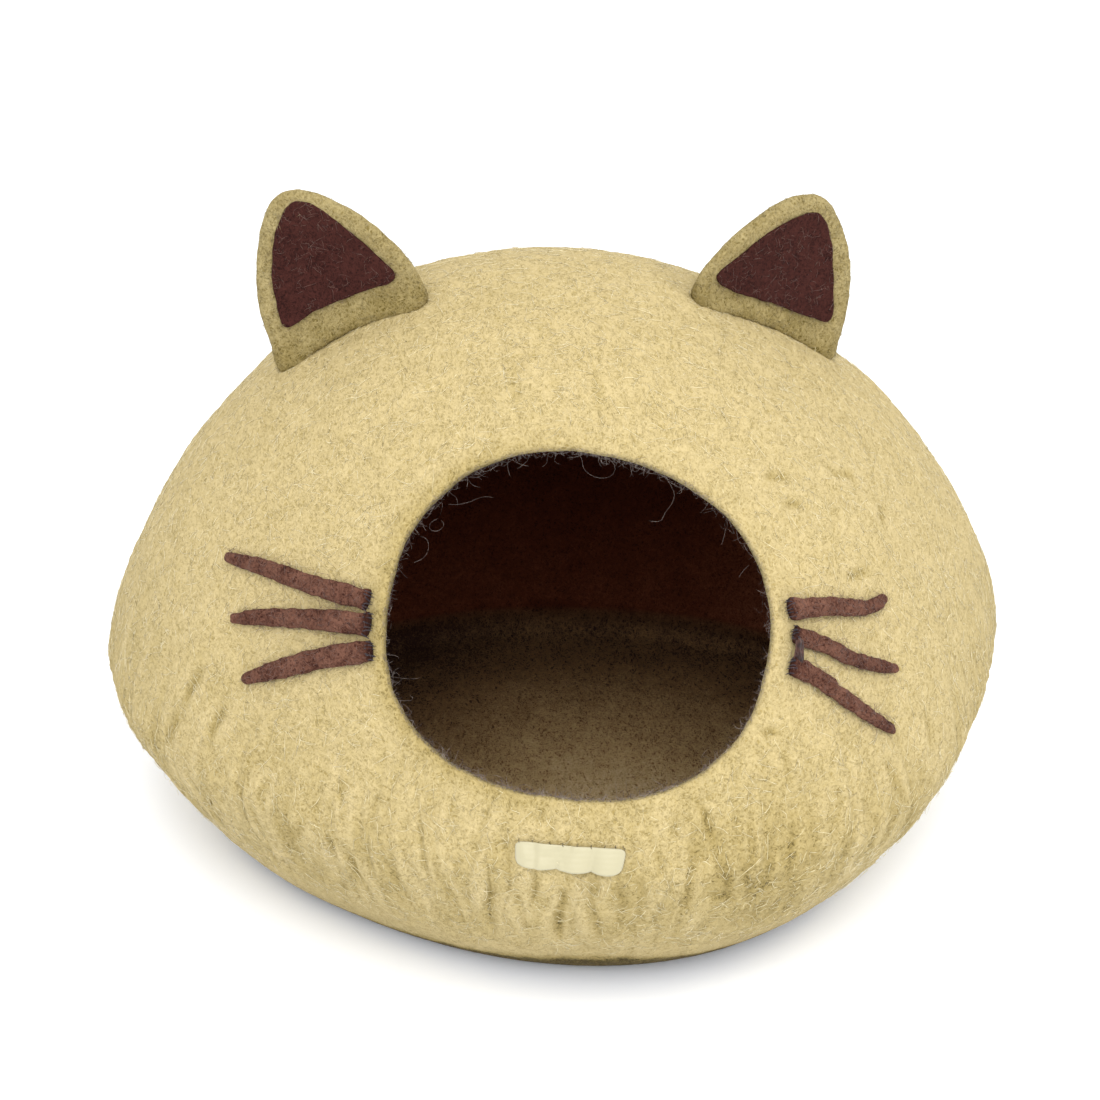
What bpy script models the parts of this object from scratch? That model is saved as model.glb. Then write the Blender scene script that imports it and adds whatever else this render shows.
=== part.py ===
"""Cat cave bed: a hollow pod of thick wool felt with a round mouth cut in its front.

Two rounded ears with dark patches stand on the dome, three rolled whiskers lie on each
side of the mouth, and a small bare satin label is sewn on below it. Metres, +Z up. The
mouth faces -Y, and left and right are those of someone who looks at the mouth. Every
shape is worked out about the pod's own upright axis, which an empty then puts in place.
"""
import math

import bmesh
import bpy
from mathutils import Vector

# Pod: widest ring, flat bottom, height, and the felt's thickness
WIDEST_RADIUS = 0.230
WIDEST_HEIGHT = 0.083
BASE_RADIUS = 0.165
HEIGHT = 0.280
WALL = 0.007

# Roundness of the pod's profile, below and above the widest ring
LOWER_ROUND = 1.315
UPPER_ROUND = 1.942
UPPER_FALL = 1.485

# Unevenness of the pod's plan: waves round it, cosine share, sine share
PLAN_WAVES = (
    (2, -0.0206, -0.0005),
    (3, -0.0135, 0.0371),
    (4, 0.0005, 0.0178),
)

# Lean of the soft wall, about a height of 0.4 of the pod: to the left, bowed to the left, and back
LEAN_HEIGHT = 0.4
LEAN_LEFT = 0.0024
LEAN_BOW = 0.031
LEAN_BACK = 0.0034

# Soft hollows in the pod, swells where negative: bearing from +X, elevation, reach (degrees), depth
HOLLOWS = (
    (232, 8, 13, 0.0022),
    (296, 4, 12, 0.0015),
    (206, 30, 15, 0.0012),
    (350, 22, 17, -0.0022),
    (75, 24, 18, 0.0030),
    (140, 12, 15, 0.0022),
    (35, 8, 12, 0.0020),
)
HOLLOW_CENTRE = Vector((0, 0, 0.110))

# Mouth: an oval cut along its own axis, which rises towards the viewer
MOUTH_CENTRE = Vector((-0.0105, -0.1767, 0.1745))
MOUTH_BEARING = -8.5
MOUTH_RISE = 40.0
MOUTH_TILT = -9.5
MOUTH_HALF_WIDTH = 0.0858
MOUTH_HALF_HEIGHT = 0.0785
MOUTH_ROUND = 2.24
MOUTH_CUT_OUT = 0.075
MOUTH_CUT_IN = 0.085

# Ears: felt panels that stand upright on the dome, dished towards the front
EAR_THICKNESS = 0.0062
EAR_DISH = 0.0035
EAR_DISH_FROM = 0.030
PATCH_THICKNESS = 0.0020
PATCH_GAP = 0.0005

# Left ear: two ends of its foot (x, y), outline and patch as (along the foot, height over the dome)
LEFT_FOOT = ((-0.136, -0.002), (-0.070, -0.015))
LEFT_OUTLINE = (
    (0.000, 0.000), (0.0015, 0.015), (0.0055, 0.032), (0.0155, 0.0495), (0.0295, 0.0655), (0.0435, 0.071),
    (0.057, 0.065), (0.071, 0.0495), (0.0795, 0.0315), (0.0825, 0.0165), (0.0785, 0.000), (0.052, 0.000),
    (0.026, 0.000),
)
LEFT_PATCH = (
    (0.013, 0.0175), (0.0185, 0.038), (0.030, 0.0555), (0.044, 0.066), (0.0545, 0.0625), (0.0625, 0.048),
    (0.0695, 0.0315), (0.073, 0.0165), (0.053, 0.015), (0.0295, 0.016),
)

# Right ear, in the same way
RIGHT_FOOT = ((0.065, -0.006), (0.140, 0.019))
RIGHT_OUTLINE = (
    (-0.002, 0.000), (-0.0065, 0.0125), (-0.001, 0.030), (0.0095, 0.047), (0.0225, 0.0605), (0.038, 0.0655),
    (0.053, 0.059), (0.068, 0.0455), (0.0775, 0.0285), (0.082, 0.012), (0.0805, 0.000), (0.053, 0.000),
    (0.026, 0.000),
)
RIGHT_PATCH = (
    (-0.0005, 0.0155), (0.0075, 0.029), (0.0165, 0.0425), (0.029, 0.055), (0.038, 0.059), (0.0495, 0.0515),
    (0.0615, 0.035), (0.0705, 0.017), (0.0575, 0.0125), (0.0355, 0.011), (0.012, 0.0105),
)

# Rings over which a whisker's ends are rounded
END_ROUND = 1.2

# Whiskers: width at the root, then points from root to tip seen from the front (across, height)
WHISKER_THICKNESS_SHARE = 0.52
WHISKERS = (
    ("whisker_left_1", 0.0098, ((-0.099, 0.1775), (-0.121, 0.1765), (-0.145, 0.1755), (-0.164, 0.172))),
    ("whisker_left_2", 0.0104, ((-0.099, 0.169), (-0.121, 0.165), (-0.1455, 0.1585), (-0.162, 0.152))),
    ("whisker_left_3", 0.0106, ((-0.0985, 0.160), (-0.122, 0.1505), (-0.1435, 0.1395), (-0.158, 0.1315))),
    ("whisker_right_1", 0.0098, ((0.0815, 0.177), (0.101, 0.1725), (0.122, 0.165), (0.133, 0.1635))),
    ("whisker_right_2", 0.0086, ((0.083, 0.1685), (0.0965, 0.1615), (0.113, 0.151), (0.136, 0.1385))),
    ("whisker_right_3", 0.0090, ((0.080, 0.1585), (0.0925, 0.151), (0.1085, 0.137), (0.132, 0.1175))),
)
# Width of a whisker along its length: share of the length, share of the width at the root
WHISKER_WIDTHS = ((0.0, 1.0), (0.25, 0.94), (0.6, 0.84), (0.85, 0.70), (1.0, 0.46))

# Label: corners seen from the front (across, height), satin's thickness and its waves
LABEL_TOP = ((-0.0415, 0.0995), (0.0050, 0.0985))
LABEL_FOOT = ((-0.0415, 0.0898), (0.0025, 0.0880))
LABEL_THICKNESS = 0.0010
LABEL_WAVE = 0.0010
LABEL_WAVES = 3

# Fineness of the meshes, the gap between touching pieces, and the pod's axis in the part's frame
SHELL_SIDES = 56
BASE_RINGS = 2
LOWER_RINGS = 7
UPPER_RINGS = 16
MOUTH_SIDES = 60
EAR_SIDES = 34
EAR_RINGS = 12
PATCH_RINGS = 8
WHISKER_SIDES = 10
WHISKER_RINGS = 14
LABEL_STEPS = (18, 3)
GAP = 0.0004
AXIS = Vector((0.0013, 0.0093, 0))

# How the skin is felt for: distance to start from, step of the search, halvings, spread of a normal
SEARCH_FROM = 0.5
SEARCH_STEP = 0.004
SEARCH_HALVINGS = 18
NORMAL_SPREAD = 0.004
NORMAL_FROM = 0.05

# Points in which a smooth curve is measured
CURVE_STEPS = 400


def ring_radius(height):
    """Radius of the plain pod at a height, before its plan is made uneven."""
    if height < WIDEST_HEIGHT:
        left = 1 - height / WIDEST_HEIGHT
        spread = (1 - left ** LOWER_ROUND) ** (1 / LOWER_ROUND)
        return BASE_RADIUS + (WIDEST_RADIUS - BASE_RADIUS) * spread
    rise = min(1, (height - WIDEST_HEIGHT) / (HEIGHT - WIDEST_HEIGHT))
    return WIDEST_RADIUS * (1 - rise ** UPPER_FALL) ** (1 / UPPER_ROUND)


def plan_share(turn):
    """How far the pod's plan stands out at a bearing, as a share of its ring."""
    share = 1
    for waves, cosine, sine in PLAN_WAVES:
        share += cosine * math.cos(waves * turn) + sine * math.sin(waves * turn)
    return share


def lean(height):
    """Sideways shift of a ring of the soft wall."""
    up = height / HEIGHT - LEAN_HEIGHT
    return Vector((-LEAN_LEFT * up - LEAN_BOW * up * up, LEAN_BACK * up, 0))


def hollow_depth(direction):
    """Depth of the soft hollows in a direction from the pod's inner centre."""
    depth = 0
    for bearing, elevation, reach, deepest in HOLLOWS:
        turn, rise = math.radians(bearing), math.radians(elevation)
        middle = Vector((math.cos(turn) * math.cos(rise), math.sin(turn) * math.cos(rise), math.sin(rise)))
        away = math.degrees(direction.angle(middle)) / reach
        depth += deepest * math.exp(-away * away)
    return depth


def pod_point(turn, radius, height):
    """Point of the outer skin on the ring of a radius and height, at a bearing."""
    point = lean(height) + Vector((math.cos(turn), math.sin(turn), 0)) * radius * plan_share(turn)
    point.z = height
    if height == 0:
        return point
    out = point - HOLLOW_CENTRE
    return point - out.normalized() * hollow_depth(out)


def inside_pod(point):
    """True where a point lies inside the outer skin."""
    out = point - HOLLOW_CENTRE
    plain = point + out.normalized() * hollow_depth(out)
    if not 0 < plain.z < HEIGHT:
        return False
    flat = plain - lean(plain.z)
    turn = math.atan2(flat.y, flat.x)
    return math.hypot(flat.x, flat.y) < ring_radius(plain.z) * plan_share(turn)


def seat(point, direction, reach=SEARCH_FROM):
    """Point on the skin that is met from outside, looking along a direction through a point."""
    start = point - direction * reach
    step = direction * SEARCH_STEP
    while not inside_pod(start + step):
        start = start + step
    for _ in range(SEARCH_HALVINGS):
        step = step / 2
        if not inside_pod(start + step):
            start = start + step
    return start


def skin_normal(point):
    """Outward direction of the skin near one of its points."""
    toward = (HOLLOW_CENTRE - point).normalized()
    side = toward.orthogonal().normalized() * NORMAL_SPREAD
    other = toward.cross(side)
    across = seat(point + side, toward, NORMAL_FROM) - seat(point - side, toward, NORMAL_FROM)
    along = seat(point + other, toward, NORMAL_FROM) - seat(point - other, toward, NORMAL_FROM)
    normal = across.cross(along).normalized()
    return normal if normal.dot(toward) < 0 else -normal


def smooth_curve(points, share, closed=False):
    """Point of a smooth curve through the given points, at a share of its spans."""
    count = len(points)
    spans = count if closed else count - 1
    place = share * spans
    first = min(int(place), spans - 1)
    t = place - first

    def corner(index):
        if closed:
            return Vector(points[index % count])
        if index < 0:
            return 2 * Vector(points[0]) - Vector(points[1])
        if index >= count:
            return 2 * Vector(points[-1]) - Vector(points[-2])
        return Vector(points[index])

    before, start, end, after = (corner(first + k) for k in (-1, 0, 1, 2))
    return 0.5 * (
        2 * start
        + (end - before) * t
        + (2 * before - 5 * start + 4 * end - after) * t * t
        + (3 * start - before - 3 * end + after) * t ** 3
    )


def even_curve(points, count, closed):
    """Points at even distances along a smooth curve."""
    fine = [smooth_curve(points, k / CURVE_STEPS, closed) for k in range(CURVE_STEPS + 1)]
    run = [0]
    for start, end in zip(fine, fine[1:]):
        run.append(run[-1] + (end - start).length)
    places = []
    index = 0
    for k in range(count):
        want = run[-1] * k / (count if closed else count - 1)
        while index < CURVE_STEPS - 1 and run[index + 1] < want:
            index += 1
        share = (want - run[index]) / (run[index + 1] - run[index])
        places.append(fine[index].lerp(fine[index + 1], share))
    return places


def between(table, share):
    """Value of a two-column table at a share, in straight lines."""
    for (start, low), (end, high) in zip(table, table[1:]):
        if share <= end:
            return low + (high - low) * (share - start) / (end - start)
    return table[-1][1]


def felt(name, colour):
    """Wool felt: matt, with a little sheen from its loose fibres."""
    material = bpy.data.materials.new(name)
    material.use_nodes = True
    shader = material.node_tree.nodes["Principled BSDF"]
    shader.inputs["Base Color"].default_value = (*colour, 1)
    shader.inputs["Roughness"].default_value = 0.95
    shader.inputs["Metallic"].default_value = 0
    shader.inputs["Sheen Weight"].default_value = 0.3
    return material


def satin(name, colour):
    """Woven satin ribbon: smooth, a little glossy."""
    material = felt(name, colour)
    shader = material.node_tree.nodes["Principled BSDF"]
    shader.inputs["Roughness"].default_value = 0.5
    return material


def add_object(name, bm, collection, parent, *materials):
    """Object made of a bmesh, shaded smooth, standing on the pod's axis."""
    mesh = bpy.data.meshes.new(name)
    bm.to_mesh(mesh)
    bm.free()
    mesh.shade_smooth()
    mesh.set_sharp_from_angle(angle=math.radians(50))
    for material in materials:
        mesh.materials.append(material)
    obj = bpy.data.objects.new(name, mesh)
    obj.parent = parent
    collection.objects.link(obj)
    return obj


def pod_rings():
    """Rings of the skin from the bottom's middle to the crown: radius, height."""
    rings = [(BASE_RADIUS * k / BASE_RINGS, 0) for k in range(BASE_RINGS + 1)]
    for k in range(1, LOWER_RINGS + 1):
        angle = math.pi / 2 * k / LOWER_RINGS
        height = WIDEST_HEIGHT * (1 - math.cos(angle) ** 1.5)
        rings.append((ring_radius(height), height))
    for k in range(1, UPPER_RINGS + 1):
        angle = math.pi / 2 * k / UPPER_RINGS
        height = WIDEST_HEIGHT + (HEIGHT - WIDEST_HEIGHT) * math.sin(angle) ** 1.2
        rings.append((ring_radius(height), height))
    return rings


def ball_place(corner, rings):
    """Ring, counted from the lower pole, and bearing of a corner of a unit ball."""
    ring = round(math.acos(max(-1, min(1, -corner.z))) / math.pi * rings)
    return ring, math.atan2(corner.y, corner.x)


def make_shell(collection, cutters, parent, outer, inner):
    """Pod wall, flat bottom and mouth in one: a skin drawn to the pod's form, then thickened."""
    rings = pod_rings()
    bm = bmesh.new()
    bmesh.ops.create_uvsphere(bm, u_segments=SHELL_SIDES, v_segments=len(rings) - 1, radius=1)
    for corner in bm.verts:
        ring, turn = ball_place(corner.co, len(rings) - 1)
        corner.co = pod_point(turn, *rings[ring])
    shell = add_object("shell", bm, collection, parent, outer, inner)
    wall = shell.modifiers.new("felt wall", "SOLIDIFY")
    wall.thickness = WALL
    wall.offset = -1
    wall.use_even_offset = True
    wall.material_offset = 1
    mouth = shell.modifiers.new("mouth", "BOOLEAN")
    mouth.operation = "DIFFERENCE"
    mouth.solver = "EXACT"
    mouth.object = make_mouth_cutter(cutters, parent)
    return shell


def make_mouth_cutter(cutters, parent):
    """Oval plug that cuts the mouth, drawn along the mouth's own axis."""
    bearing, rise = math.radians(MOUTH_BEARING), math.radians(MOUTH_RISE)
    out = Vector((math.sin(bearing) * math.cos(rise), -math.cos(bearing) * math.cos(rise), math.sin(rise)))
    level = Vector((math.cos(bearing), math.sin(bearing), 0))
    tilt = math.radians(MOUTH_TILT)
    right = level * math.cos(tilt) + out.cross(level) * math.sin(tilt)
    up = out.cross(right)
    bm = bmesh.new()
    bmesh.ops.create_cone(
        bm, cap_ends=True, segments=MOUTH_SIDES, radius1=1, radius2=1, depth=1)
    for corner in bm.verts:
        turn = math.atan2(corner.co.y, corner.co.x)
        width = abs(math.cos(turn) / MOUTH_HALF_WIDTH) ** MOUTH_ROUND
        height = abs(math.sin(turn) / MOUTH_HALF_HEIGHT) ** MOUTH_ROUND
        reach = (width + height) ** (-1 / MOUTH_ROUND)
        depth = MOUTH_CUT_OUT if corner.co.z > 0 else -MOUTH_CUT_IN
        corner.co = MOUTH_CENTRE + right * reach * math.cos(turn) + up * reach * math.sin(turn) + out * depth
    cutter = add_object("mouth_cutter", bm, cutters, parent)
    cutter.hide_render = True
    cutter.display_type = "WIRE"
    return cutter


def ear_place(foot, along, height, depth):
    """Point of an ear: distance along its foot, height over the dome, and depth to the front."""
    start, end = (seat(Vector((x, y, HEIGHT)), Vector((0, 0, -1))) for x, y in foot)
    across = (end - start).normalized()
    front = Vector((across.y, -across.x, 0)).normalized()
    up = front.cross(across)
    if up.z < 0:
        up = -up
    share = along / (end - start).length
    dish = EAR_DISH * (1 - (2 * share - 1) ** 2) * min(1, height / EAR_DISH_FROM)
    root = seat(start + across * along + front * (depth - dish), -up)
    return root + up * (max(0, height) + GAP)


def make_panel(name, foot, outline, thickness, lift, rings, collection, parent, material):
    """Felt panel with rounded edges: a ball pressed flat inside an outline on an ear."""
    rim = even_curve(outline, EAR_SIDES, closed=True)
    middle = sum(rim, Vector((0, 0))) / EAR_SIDES
    bm = bmesh.new()
    bmesh.ops.create_uvsphere(bm, u_segments=EAR_SIDES, v_segments=rings, radius=1)
    for corner in bm.verts:
        ring, turn = ball_place(corner.co, rings)
        edge = rim[-round(turn / math.tau * EAR_SIDES) % EAR_SIDES]
        from_rim = abs(ring - rings / 2)
        bend = math.pi / 2 * min(1, from_rim / 2)
        drawn_in = thickness / 2 * (1 - math.cos(bend)) / (edge - middle).length
        share = (1 - drawn_in) * min(1, (rings / 2 - from_rim) / (rings / 2 - 2))
        flat = middle + (edge - middle) * share
        side = 1 if ring > rings / 2 else -1
        depth = lift + side * thickness / 2 * math.sin(bend)
        corner.co = ear_place(foot, flat.x, flat.y, depth)
    return add_object(name, bm, collection, parent, material)


def make_whisker(name, root_width, points, collection, parent, material):
    """Rolled felt whisker: a long ball pressed a little flat on the wall, blunt at its root."""
    route = []
    for across, height in even_curve(points, WHISKER_RINGS, closed=False):
        on_skin = seat(Vector((across, 0, height)), Vector((0, 1, 0)))
        route.append((on_skin, skin_normal(on_skin)))
    route.insert(0, route[0])
    bm = bmesh.new()
    bmesh.ops.create_uvsphere(bm, u_segments=WHISKER_SIDES, v_segments=WHISKER_RINGS, radius=1)
    for corner in bm.verts:
        ring, turn = ball_place(corner.co, WHISKER_RINGS)
        on_skin, normal = route[ring]
        ahead = route[min(ring + 1, WHISKER_RINGS)][0] - route[max(ring - 1, 0)][0]
        side = normal.cross(ahead).normalized()
        share = max(0, ring - 1) / (WHISKER_RINGS - 1)
        ends = min(1, ring / END_ROUND, (WHISKER_RINGS - ring) / END_ROUND)
        half_width = root_width * between(WHISKER_WIDTHS, share) / 2
        half_height = half_width * WHISKER_THICKNESS_SHARE
        rise = half_height * (1 + ends * math.sin(turn)) + GAP
        corner.co = on_skin + normal * rise + side * half_width * ends * math.cos(turn)
    return add_object(name, bm, collection, parent, material)


def make_label(collection, parent, material):
    """Satin tag sewn on along its top, its lower edge standing out in soft waves."""
    bm = bmesh.new()
    bmesh.ops.create_grid(bm, x_segments=LABEL_STEPS[0], y_segments=LABEL_STEPS[1], size=1)
    for corner in bm.verts:
        along, down = (corner.co.x + 1) / 2, (1 - corner.co.y) / 2
        top = Vector(LABEL_TOP[0]).lerp(Vector(LABEL_TOP[1]), along)
        foot = Vector(LABEL_FOOT[0]).lerp(Vector(LABEL_FOOT[1]), along)
        across, height = top.lerp(foot, down)
        on_skin = seat(Vector((across, 0, height)), Vector((0, 1, 0)))
        wave = LABEL_WAVE * down * (1 - math.cos(math.tau * LABEL_WAVES * along)) / 2
        corner.co = on_skin + skin_normal(on_skin) * (GAP + LABEL_THICKNESS / 2 + wave)
    label = add_object("label", bm, collection, parent, material)
    cloth = label.modifiers.new("satin", "SOLIDIFY")
    cloth.thickness = LABEL_THICKNESS
    cloth.offset = 0
    return label


def build():
    """Clear the scene and make every piece of the cat cave bed."""
    for old in list(bpy.data.objects):
        bpy.data.objects.remove(old, do_unlink=True)
    bed = bpy.data.collections.new("cat_cave_bed")
    cutters = bpy.data.collections.new("cutters")
    bpy.context.scene.collection.children.link(bed)
    bpy.context.scene.collection.children.link(cutters)
    axis = bpy.data.objects.new("pod_axis", None)
    axis.location = AXIS
    bed.objects.link(axis)

    cream = felt("cream felt", (0.60, 0.50, 0.26))
    lining = felt("brown felt inside", (0.050, 0.028, 0.016))
    ear_cream = felt("cream felt of the ears", (0.55, 0.46, 0.24))
    dark = felt("dark brown needle felt", (0.062, 0.024, 0.020))
    umber = felt("rolled brown felt", (0.105, 0.055, 0.045))
    ribbon = satin("cream satin", (0.80, 0.74, 0.52))

    make_shell(bed, cutters, axis, cream, lining)
    patch_lift = EAR_THICKNESS / 2 + PATCH_GAP + PATCH_THICKNESS / 2
    sides = (("left", LEFT_FOOT, LEFT_OUTLINE, LEFT_PATCH), ("right", RIGHT_FOOT, RIGHT_OUTLINE, RIGHT_PATCH))
    for side, foot, outline, patch in sides:
        make_panel(f"ear_{side}", foot, outline, EAR_THICKNESS, 0, EAR_RINGS, bed, axis, ear_cream)
        make_panel(
            f"ear_patch_{side}", foot, patch, PATCH_THICKNESS, patch_lift, PATCH_RINGS, bed, axis, dark)
    for name, root_width, points in WHISKERS:
        make_whisker(name, root_width, points, bed, axis, umber)
    make_label(bed, axis, ribbon)


build()
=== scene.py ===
import math
from functools import partial

import bmesh
import bpy
import numpy as np
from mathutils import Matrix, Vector, noise


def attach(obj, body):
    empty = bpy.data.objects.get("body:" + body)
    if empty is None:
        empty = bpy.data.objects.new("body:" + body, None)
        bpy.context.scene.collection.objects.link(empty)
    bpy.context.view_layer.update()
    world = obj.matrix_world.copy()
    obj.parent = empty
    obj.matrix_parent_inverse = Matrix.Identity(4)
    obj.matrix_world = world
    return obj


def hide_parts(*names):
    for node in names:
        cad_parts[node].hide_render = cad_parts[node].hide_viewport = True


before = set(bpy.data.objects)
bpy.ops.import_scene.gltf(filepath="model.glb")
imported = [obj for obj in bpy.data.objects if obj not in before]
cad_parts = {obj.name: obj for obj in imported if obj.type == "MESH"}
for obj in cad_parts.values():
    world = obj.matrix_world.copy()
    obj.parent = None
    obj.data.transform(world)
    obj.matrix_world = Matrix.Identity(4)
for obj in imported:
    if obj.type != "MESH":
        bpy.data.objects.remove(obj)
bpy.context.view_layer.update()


# Camera, floor and light
# The bed stands on seamless white paper in a bright tent of soft light, a little stronger from
# above and in front. The camera looks down at it by 24 degrees, from slightly to the left.

CAMERA_AIM = Vector((-0.0055, 0.0093, 0.1314))
CAMERA_AWAY = 1.4
CAMERA_RISE = math.radians(24)
CAMERA_TURN = math.radians(-5)
CAMERA_LENS = 91.56
PAPER_SIZE = 4.0
SOFTBOXES = (
    # name, place, aimed at, width, height, watts
    ("softbox overhead", (0.10, -0.30, 1.9), (0.0, 0.0, 0.1), 1.8, 1.8, 9.5),
    ("softbox in front", (-0.15, -1.55, 1.10), (0.0, 0.0, 0.1), 1.6, 1.2, 21.5),
    ("softbox at the right", (1.5, -0.6, 1.2), (0.0, 0.0, 0.1), 1.0, 1.0, 6.0),
)
TENT_LIGHT = 1.40


def linear(text):
    """Linear colour of an sRGB hex value."""
    shares = [int(text[k:k + 2], 16) / 255 for k in (1, 3, 5)]
    return tuple(s / 12.92 if s <= 0.04045 else ((s + 0.055) / 1.055) ** 2.4 for s in shares) + (1,)


def add_node(tree, kind, settings=(), links=()):
    """Outputs of a new shader node with its settings, and its inputs linked to other nodes' outputs.
    A ramp's stops start with its lowest and its highest."""
    node = tree.nodes.new("ShaderNode" + kind)
    for name, value in dict(settings).items():
        if name == "stops":
            for stop, (place, colour) in zip(node.color_ramp.elements[:], value):
                stop.position, stop.color = place, colour
            for place, colour in value[2:]:
                node.color_ramp.elements.new(place).color = colour
        elif isinstance(name, int) or name in node.inputs:
            node.inputs[name].default_value = value
        else:
            setattr(node, name, value)
    for name, socket in dict(links).items():
        tree.links.new(socket, node.inputs[name])
    return node.outputs


def new_material(name):
    """A material without nodes, and the call that adds one to it."""
    material = bpy.data.materials.new(name)
    material.use_nodes = True
    material.node_tree.nodes.clear()
    return material, partial(add_node, material.node_tree)


def new_object(name, shape, material, move=(0, 0, 0)):
    """A smooth object at the origin, made of a bmesh or of a pair of points and faces."""
    mesh = bpy.data.meshes.new(name)
    if isinstance(shape, bmesh.types.BMesh):
        bmesh.ops.translate(shape, vec=move, verts=shape.verts)
        shape.to_mesh(mesh)
        shape.free()
    else:
        mesh.from_pydata((shape[0] + move).tolist(), [], shape[1].tolist())
    mesh.shade_smooth()
    mesh.materials.append(material)
    obj = bpy.data.objects.new(name, mesh)
    bpy.context.scene.collection.objects.link(obj)
    return obj


camera = bpy.data.objects.new("camera", bpy.data.cameras.new("camera"))
camera_back = Vector((
    math.sin(CAMERA_TURN) * math.cos(CAMERA_RISE),
    -math.cos(CAMERA_TURN) * math.cos(CAMERA_RISE),
    math.sin(CAMERA_RISE),
))
camera.location = CAMERA_AIM + camera_back * CAMERA_AWAY
camera.rotation_euler = camera_back.to_track_quat("Z", "Y").to_euler()
camera.data.lens = CAMERA_LENS
camera.data.sensor_width = 36
bpy.context.scene.collection.objects.link(camera)
bpy.context.scene.camera = camera
bpy.context.scene.view_settings.view_transform = "Standard"

# White background paper: matt and so bright in the tent that only the bed's shadow shows on it
paper, add = new_material("white background paper")
shader = add("BsdfPrincipled", {"Base Color": linear("#F6F9FF"), "Roughness": 0.9})
add("OutputMaterial", {}, {"Surface": shader[0]})
bm = bmesh.new()
bmesh.ops.create_grid(bm, x_segments=4, y_segments=4, size=PAPER_SIZE / 2)
floor = new_object("paper_floor", bm, paper, (0, 0, -0.0002))

for name, place, aim, width, height, watts in SOFTBOXES:
    lamp = bpy.data.objects.new(name, bpy.data.lights.new(name, "AREA"))
    lamp.data.shape = "RECTANGLE"
    lamp.data.size, lamp.data.size_y, lamp.data.energy = width, height, watts
    lamp.location = place
    lamp.rotation_euler = (Vector(place) - Vector(aim)).to_track_quat("Z", "Y").to_euler()
    bpy.context.scene.collection.objects.link(lamp)

tent = bpy.data.worlds.new("light tent")
tent.use_nodes = True
tent.node_tree.nodes["Background"].inputs[0].default_value = linear("#FFFFFF")
tent.node_tree.nodes["Background"].inputs[1].default_value = TENT_LIGHT
bpy.context.scene.world = tent


# The cave
# One seamless pod of wool felt, 7 mm thick: cream fibres outside and brown ones inside are felted
# wet over a mould in one piece, and the mouth is cut in it and worked round while it is wet.

# Everything is measured from the pod's own axis, which stands here in the frame
POD_AXIS = (0.0013, 0.0093, 0.0)
WIDEST_RADIUS = 0.230
WIDEST_HEIGHT = 0.083
BASE_RADIUS = 0.165
HEIGHT = 0.280
WALL = 0.007
LOWER_ROUND = 1.315
UPPER_ROUND = 1.942
UPPER_FALL = 1.485
LEAN_HEIGHT = 0.4
LEAN_LEFT = 0.0024
LEAN_BOW = 0.031
LEAN_BACK = 0.0034
PLAN_WAVES = (
    # waves round the pod, cosine share, sine share
    (2, -0.0206, -0.0005),
    (3, -0.0135, 0.0371),
    (4, 0.0005, 0.0178),
)
HOLLOWS = (
    # bearing, elevation, reach in degrees, depth (negative swells)
    (232, 8, 13, 0.0022),
    (296, 4, 12, 0.0015),
    (206, 30, 15, 0.0012),
    (350, 22, 17, -0.0022),
    (75, 24, 18, 0.0030),
    (140, 12, 15, 0.0022),
    (35, 8, 12, 0.0020),
)
POD_CENTRE = np.array((0, 0, 0.110))

MOUTH_CENTRE = np.array((-0.0105, -0.1767, 0.1745))
MOUTH_BEARING = math.radians(-8.5)
MOUTH_RISE = math.radians(40)
MOUTH_TILT = math.radians(-9.5)
MOUTH_HALF_WIDTH = 0.0858
MOUTH_HALF_HEIGHT = 0.0785
MOUTH_ROUND = 2.24
# Unevenness of the cut: share of its size, waves, place in the noise
MOUTH_WAVES = ((0.006, 4, 3.3), (0.005, 11, 7.7))

# The mesh runs in rings round the mouth and back to a point behind it
SIDES = 440
SKIN_RINGS = 188
LINING_RINGS = 90
HIDDEN_RINGS = 30
SIDES_NEAR_FOOT = 0.4
LIP_RINGS = 7
RINGS_NEAR_MOUTH = 1.15
LIP_RADIUS = 0.0034
CUT_BLEND = 0.012
LAYER_DEPTH = 0.0036
LAYER_GAP = 0.0002
LINING_ROUND = 0.0022

MOUTH_OUT = np.array((
    math.sin(MOUTH_BEARING) * math.cos(MOUTH_RISE),
    -math.cos(MOUTH_BEARING) * math.cos(MOUTH_RISE),
    math.sin(MOUTH_RISE),
))
MOUTH_LEVEL = np.array((math.cos(MOUTH_BEARING), math.sin(MOUTH_BEARING), 0))
MOUTH_STEEP = np.cross(MOUTH_OUT, MOUTH_LEVEL)
MOUTH_RIGHT = MOUTH_LEVEL * math.cos(MOUTH_TILT) + MOUTH_STEEP * math.sin(MOUTH_TILT)
MOUTH_UP = np.cross(MOUTH_OUT, MOUTH_RIGHT)


def unit(vectors):
    """Vectors brought to a length of one."""
    return vectors / np.maximum(np.linalg.norm(vectors, axis=-1, keepdims=True), 1e-12)


def ramp(values, start, end):
    """From 0 at the start to 1 at the end, which may lie below it, and level beyond them."""
    return np.clip((values - start) / (end - start), 0, 1)


def hollow_depth(directions):
    """Depth of the pod's soft hollows in unit directions from its inner centre."""
    depth = np.zeros(directions.shape[:-1])
    for bearing, elevation, reach, deepest in HOLLOWS:
        turn, rise = math.radians(bearing), math.radians(elevation)
        middle = (math.cos(turn) * math.cos(rise), math.sin(turn) * math.cos(rise), math.sin(rise))
        away = np.degrees(np.arccos(np.clip(directions @ np.array(middle), -1, 1))) / reach
        depth += deepest * np.exp(-away * away)
    return depth


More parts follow.
